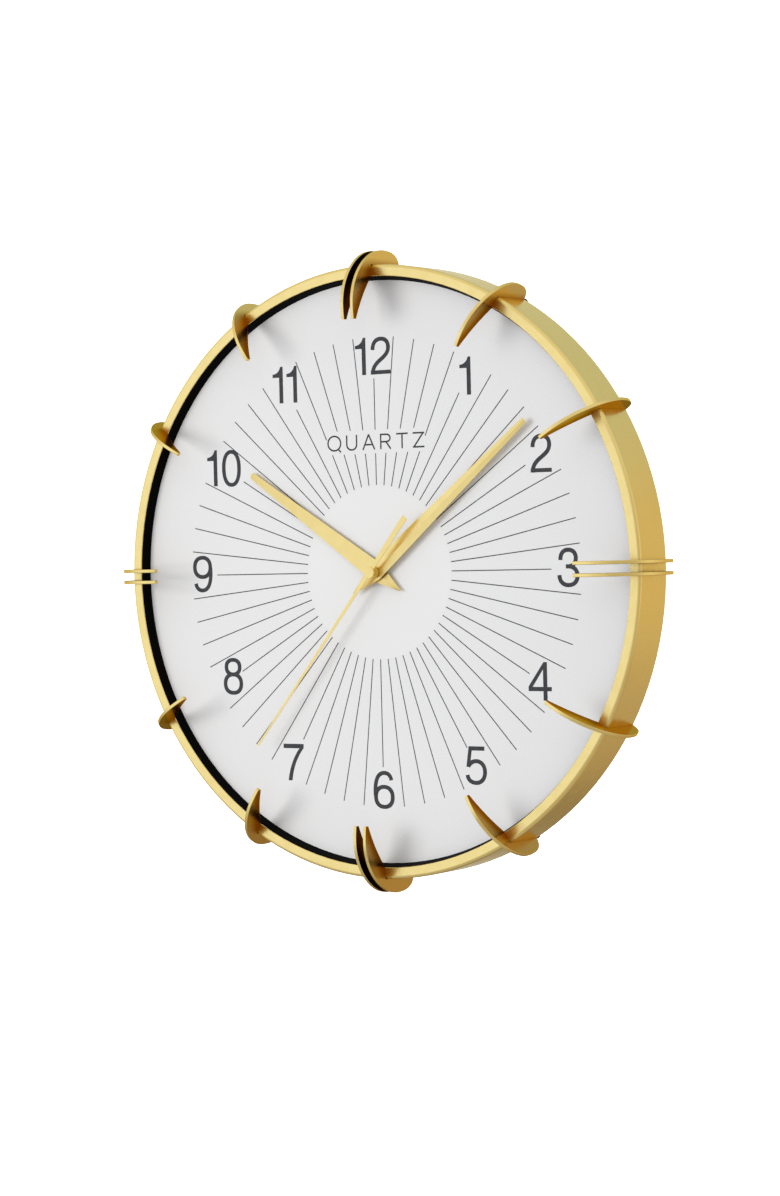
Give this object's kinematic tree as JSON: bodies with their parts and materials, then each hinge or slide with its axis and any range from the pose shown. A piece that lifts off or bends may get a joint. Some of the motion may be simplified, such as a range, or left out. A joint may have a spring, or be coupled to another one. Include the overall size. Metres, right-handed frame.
{
  "type": "sunburst wall clock",
  "caption": "Round wall clock with a deep gold hoop case, flat claw-shaped blades hooked over its rim, a printed light dial, three long hands and a battery quartz movement behind.",
  "frame": {"origin": "centre of the dial's front face on the hand axis, which is also the centre of the bounding box", "axes": "the dial faces -Y and the wall is on the +Y side; +Z points to 12 o'clock; +X points to 3 o'clock; every hand and wheel turns about Y, clockwise seen from the front for positive angles"},
  "size_m": [0.374, 0.052, 0.374],
  "materials": {
    "gold_case": "bright metallic gold lacquer",
    "gold_hands": "satin metallic gold",
    "black_liner": "matte black",
    "dial_print": "matte light grey with printed rays and numerals",
    "fibre_board": "raw hardboard",
    "zinc_steel": "zinc plated",
    "bumper_rubber": "soft matte",
    "brass": "machined",
    "movement_black": "fine moulded texture",
    "wheel_white": "moulded acetal",
    "wheel_black": "moulded acetal",
    "pinion_steel": "turned and polished",
    "magnet": "sintered ferrite",
    "soft_iron": "stamped, dull",
    "coil_copper": "enamelled copper wire",
    "bobbin_plastic": "natural nylon",
    "circuit_green": "solder mask",
    "epoxy_black": "cured epoxy",
    "crystal_can": "drawn nickel can",
    "battery_label": "plain wrapped label with bare ends",
    "spring_plate": "nickel plated strip",
    "gasket_rubber": "soft matte"
  },
  "bodies": {
    "clock_case": {"case_ring": "gold_case", "blade_1": "gold_case", "blade_2": "gold_case", "blade_3_first": "gold_case", "blade_3_second": "gold_case", "blade_4": "gold_case", "blade_5": "gold_case", "blade_6_first": "gold_case", "blade_6_second": "gold_case", "blade_7": "gold_case", "blade_8": "gold_case", "blade_9_first": "gold_case", "blade_9_second": "gold_case", "blade_10": "gold_case", "blade_11": "gold_case", "blade_12_first": "gold_case", "blade_12_second": "gold_case", "well_liner": "black_liner", "dial": "dial_print", "backing_board": "fibre_board", "retaining_tabs": "zinc_steel", "hanger": "zinc_steel", "hanger_screws": "zinc_steel", "wall_bumpers": "bumper_rubber", "threaded_bush": "brass", "nut_washer": "brass", "mounting_nut": "brass", "movement_gasket": "gasket_rubber", "movement_cover": "movement_black", "movement_housing": "movement_black", "gear_bridge": "wheel_white", "stator": "soft_iron", "coil_core": "soft_iron", "coil_bobbin": "bobbin_plastic", "coil_winding": "coil_copper", "circuit_board": "circuit_green", "chip_blob": "epoxy_black", "quartz_crystal": "crystal_can", "battery": "battery_label", "contact_plus": "spring_plate", "contact_minus": "spring_plate"},
    "seconds": {"second_wheel": "wheel_white", "second_hand": "gold_hands", "second_hub": "gold_hands", "second_cap": "gold_hands"},
    "rotor": {"rotor_pinion": "pinion_steel", "rotor_magnet": "magnet"},
    "intermediate": {"intermediate_wheel": "wheel_white"},
    "third": {"third_wheel": "wheel_black"},
    "centre": {"centre_wheel": "wheel_black"},
    "minutes": {"cannon_pinion": "pinion_steel", "minute_hand": "gold_hands"},
    "setting": {"setting_wheel": "wheel_white"},
    "hours": {"hour_wheel": "wheel_white", "hour_hand": "gold_hands"},
    "knob": {"setting_knob": "movement_black"}
  },
  "joints": [
    {"name": "second_turn", "type": "hinge", "parent": "clock_case", "child": "seconds", "pos_m": [0, 0, 0], "axis": [0, 1, 0], "continuous": true},
    {"name": "intermediate_turn", "type": "hinge", "parent": "clock_case", "child": "intermediate", "pos_m": [0.0025, 0, 0.00968], "axis": [0, 1, 0], "continuous": true},
    {"name": "rotor_turn", "type": "hinge", "parent": "clock_case", "child": "rotor", "pos_m": [0.00401, 0, 0.01652], "axis": [0, 1, 0], "continuous": true},
    {"name": "third_turn", "type": "hinge", "parent": "clock_case", "child": "third", "pos_m": [0.00951, 0, 0.00134], "axis": [0, 1, 0], "continuous": true},
    {"name": "centre_turn", "type": "hinge", "parent": "clock_case", "child": "centre", "pos_m": [0, 0, 0], "axis": [0, 1, 0], "continuous": true},
    {"name": "minute_turn", "type": "hinge", "parent": "clock_case", "child": "minutes", "pos_m": [0, 0, 0], "axis": [0, 1, 0], "continuous": true},
    {"name": "setting_turn", "type": "hinge", "parent": "clock_case", "child": "setting", "pos_m": [-0.00749, 0, 0.006], "axis": [0, 1, 0], "continuous": true},
    {"name": "hour_turn", "type": "hinge", "parent": "clock_case", "child": "hours", "pos_m": [0, 0, 0], "axis": [0, 1, 0], "continuous": true},
    {"name": "knob_turn", "type": "hinge", "parent": "clock_case", "child": "knob", "pos_m": [-0.01829, 0, 0.006], "axis": [0, 1, 0], "continuous": true}
  ],
  "couplings": [
    {"joint": "intermediate_turn", "follows": "second_turn", "ratio": -5},
    {"joint": "rotor_turn", "follows": "second_turn", "ratio": 30},
    {"joint": "third_turn", "follows": "second_turn", "ratio": -0.13333},
    {"joint": "centre_turn", "follows": "second_turn", "ratio": 0.016667},
    {"joint": "setting_turn", "follows": "minute_turn", "ratio": -0.33333},
    {"joint": "hour_turn", "follows": "minute_turn", "ratio": 0.083333},
    {"joint": "knob_turn", "follows": "minute_turn", "ratio": 0.66667}
  ]
}
